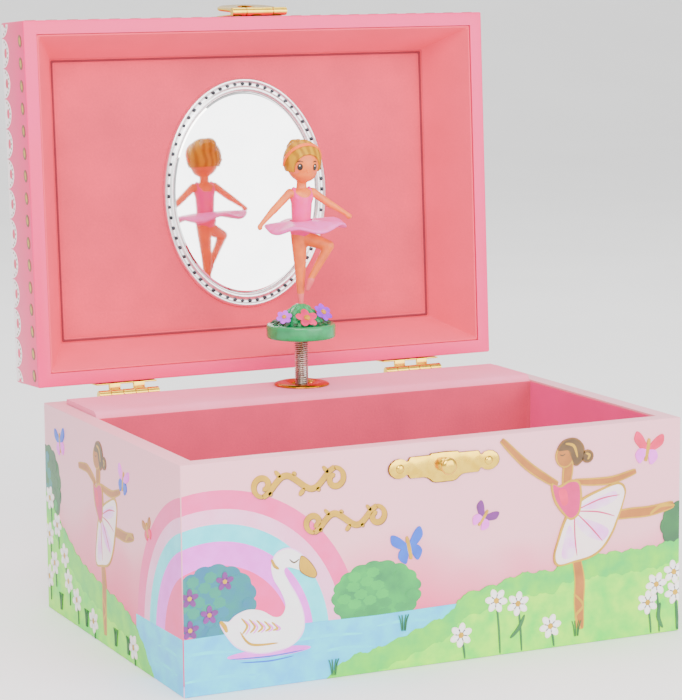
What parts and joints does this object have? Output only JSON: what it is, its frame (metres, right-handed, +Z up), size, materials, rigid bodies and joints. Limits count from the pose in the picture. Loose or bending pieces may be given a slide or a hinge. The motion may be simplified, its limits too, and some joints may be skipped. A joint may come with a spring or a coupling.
{
  "type": "musical jewellery box",
  "caption": "Paper-covered musical jewellery box with a mirrored hinged lid, a turning dancer on a spring, a hasp and a clockwork movement wound by a key.",
  "frame": {"origin": "centre of the underside of the box casing", "axes": "+Z up, +Y from the front (latch side) to the back (hinge side), +X to the right seen from the front; the lid stands open"},
  "size_m": [0.152, 0.1431, 0.1769],
  "materials": {
    "box_front": "board covered with printed paper",
    "box_back": "board covered with printed paper",
    "box_left": "board covered with printed paper",
    "box_right": "board covered with printed paper",
    "box_bottom": "board covered with paper",
    "compartment_lining": "smooth pink paper lining",
    "platform_top": "pink flocked cloth over board",
    "platform_front": "pink flocked cloth over board",
    "grommet": "polished",
    "dancer_spring": "drawn wire",
    "spring_cap": "turned",
    "garden_disc": "painted resin",
    "leaf_wreath": "painted resin",
    "flower_pink": "painted resin",
    "flower_lilac_left": "painted resin",
    "flower_lilac_right": "painted resin",
    "dancer_figure": "painted resin",
    "dancer_tutu": "moulded skirt",
    "dancer_hair": "painted resin",
    "dancer_headband": "painted resin",
    "lid_top": "board covered with printed paper",
    "lid_front": "board covered with printed paper",
    "lid_back": "board covered with printed paper",
    "lid_left": "board covered with printed paper",
    "lid_right": "board covered with printed paper",
    "lid_lining": "pink flocked cloth over padded card",
    "mirror_frame": "silver plated",
    "mirror_glass": "silvered",
    "hinge_left_leaf_box": "plated",
    "hinge_left_leaf_lid": "plated",
    "hinge_left_nail_box": "plated",
    "hinge_left_nail_lid": "plated",
    "hinge_left_pin": "drawn wire",
    "hinge_right_leaf_box": "plated",
    "hinge_right_leaf_lid": "plated",
    "hinge_right_nail_box": "plated",
    "hinge_right_nail_lid": "plated",
    "hinge_right_pin": "drawn wire",
    "latch_plate": "pale gold plate",
    "latch_knob": "pale gold plate",
    "latch_nail_left": "pale gold plate",
    "latch_nail_right": "pale gold plate",
    "hasp_plate": "pale gold plate",
    "hasp_tongue": "pale gold plate",
    "hasp_pin": "pale gold plate",
    "movement_frame": "stamped and formed",
    "comb": "ground spring steel",
    "barrel_cover": "machined",
    "barrel_drum": "machined",
    "crown_wheel": "machined",
    "cylinder": "machined",
    "mainspring": "blued strip",
    "spindle": "machined",
    "governor": "machined",
    "stop_wire": "bent wire",
    "winding_arbor": "turned",
    "winding_key": "plated"
  },
  "bodies": {
    "case": {"box_front": "box_front", "box_back": "box_back", "box_left": "box_left", "box_right": "box_right", "box_bottom": "box_bottom", "compartment_lining": "compartment_lining", "platform_top": "platform_top", "platform_front": "platform_front", "grommet": "grommet", "dancer_spring": "dancer_spring", "hinge_left_leaf_box": "hinge_left_leaf_box", "hinge_left_nail_box": "hinge_left_nail_box", "hinge_left_pin": "hinge_left_pin", "hinge_right_leaf_box": "hinge_right_leaf_box", "hinge_right_nail_box": "hinge_right_nail_box", "hinge_right_pin": "hinge_right_pin", "latch_plate": "latch_plate", "latch_knob": "latch_knob", "latch_nail_left": "latch_nail_left", "latch_nail_right": "latch_nail_right", "movement_frame": "movement_frame", "comb": "comb"},
    "lid": {"lid_top": "lid_top", "lid_front": "lid_front", "lid_back": "lid_back", "lid_left": "lid_left", "lid_right": "lid_right", "lid_lining": "lid_lining", "mirror_frame": "mirror_frame", "mirror_glass": "mirror_glass", "hinge_left_leaf_lid": "hinge_left_leaf_lid", "hinge_left_nail_lid": "hinge_left_nail_lid", "hinge_right_leaf_lid": "hinge_right_leaf_lid", "hinge_right_nail_lid": "hinge_right_nail_lid", "hasp_plate": "hasp_plate", "hasp_pin": "hasp_pin"},
    "hasp": {"hasp_tongue": "hasp_tongue"},
    "dancer_fold": {"spring_cap": "spring_cap"},
    "dancer": {"garden_disc": "garden_disc", "leaf_wreath": "leaf_wreath", "flower_pink": "flower_pink", "flower_lilac_left": "flower_lilac_left", "flower_lilac_right": "flower_lilac_right", "dancer_figure": "dancer_figure", "dancer_tutu": "dancer_tutu", "dancer_hair": "dancer_hair", "dancer_headband": "dancer_headband"},
    "barrel": {"barrel_drum": "barrel_drum", "barrel_cover": "barrel_cover", "crown_wheel": "crown_wheel", "mainspring": "mainspring"},
    "winder": {"winding_arbor": "winding_arbor", "winding_key": "winding_key"},
    "spindle": {"spindle": "spindle"},
    "cylinder": {"cylinder": "cylinder"},
    "governor": {"governor": "governor"},
    "stop": {"stop_wire": "stop_wire"}
  },
  "joints": [
    {"name": "lid_hinge", "type": "hinge", "parent": "case", "child": "lid", "pos_m": [0, 0.0578, 0.06185], "axis": [1, 0, 0], "range_deg": [0, 93.08]},
    {"name": "hasp_hinge", "type": "hinge", "parent": "lid", "child": "hasp", "pos_m": [0, 0.06734, 0.175], "axis": [1, 0, 0], "range_deg": [0, 168]},
    {"name": "dancer_fold", "type": "hinge", "parent": "case", "child": "dancer_fold", "pos_m": [0.001, 0.0339, 0.0628], "axis": [1, 0, 0], "range_deg": [0, 100.2], "deforming": ["dancer_spring"]},
    {"name": "dancer_turn", "type": "hinge", "parent": "dancer_fold", "child": "dancer", "pos_m": [0.001, 0.0395, 0.0758], "axis": [0, 0, 1], "continuous": true},
    {"name": "barrel_turn", "type": "hinge", "parent": "case", "child": "barrel", "pos_m": [0.001, 0.0365, 0.03], "axis": [0, 1, 0], "continuous": true},
    {"name": "winder_turn", "type": "hinge", "parent": "case", "child": "winder", "pos_m": [0.001, 0.0365, 0.03], "axis": [0, 1, 0], "continuous": true},
    {"name": "spindle_turn", "type": "hinge", "parent": "case", "child": "spindle", "pos_m": [0.001, 0.0395, 0.042], "axis": [0, 0, 1], "continuous": true},
    {"name": "cylinder_turn", "type": "hinge", "parent": "case", "child": "cylinder", "pos_m": [-0.011, 0.0395, 0.03], "axis": [1, 0, 0], "continuous": true},
    {"name": "governor_turn", "type": "hinge", "parent": "case", "child": "governor", "pos_m": [-0.045, 0.0395, 0.04], "axis": [1, 0, 0], "continuous": true},
    {"name": "stop_slide", "type": "slide", "parent": "case", "child": "stop", "axis": [0, 0, -1], "range_m": [0, 0.0028]}
  ],
  "couplings": [
    {"joint": "dancer_fold", "follows": "lid_hinge", "ratio": 1.0743},
    {"joint": "stop_slide", "follows": "lid_hinge", "m_per_rad": 0.001662},
    {"joint": "spindle_turn", "follows": "barrel_turn", "ratio": 4},
    {"joint": "cylinder_turn", "follows": "barrel_turn", "ratio": -4},
    {"joint": "governor_turn", "follows": "barrel_turn", "ratio": 12},
    {"joint": "dancer_turn", "follows": "barrel_turn", "ratio": 4}
  ]
}
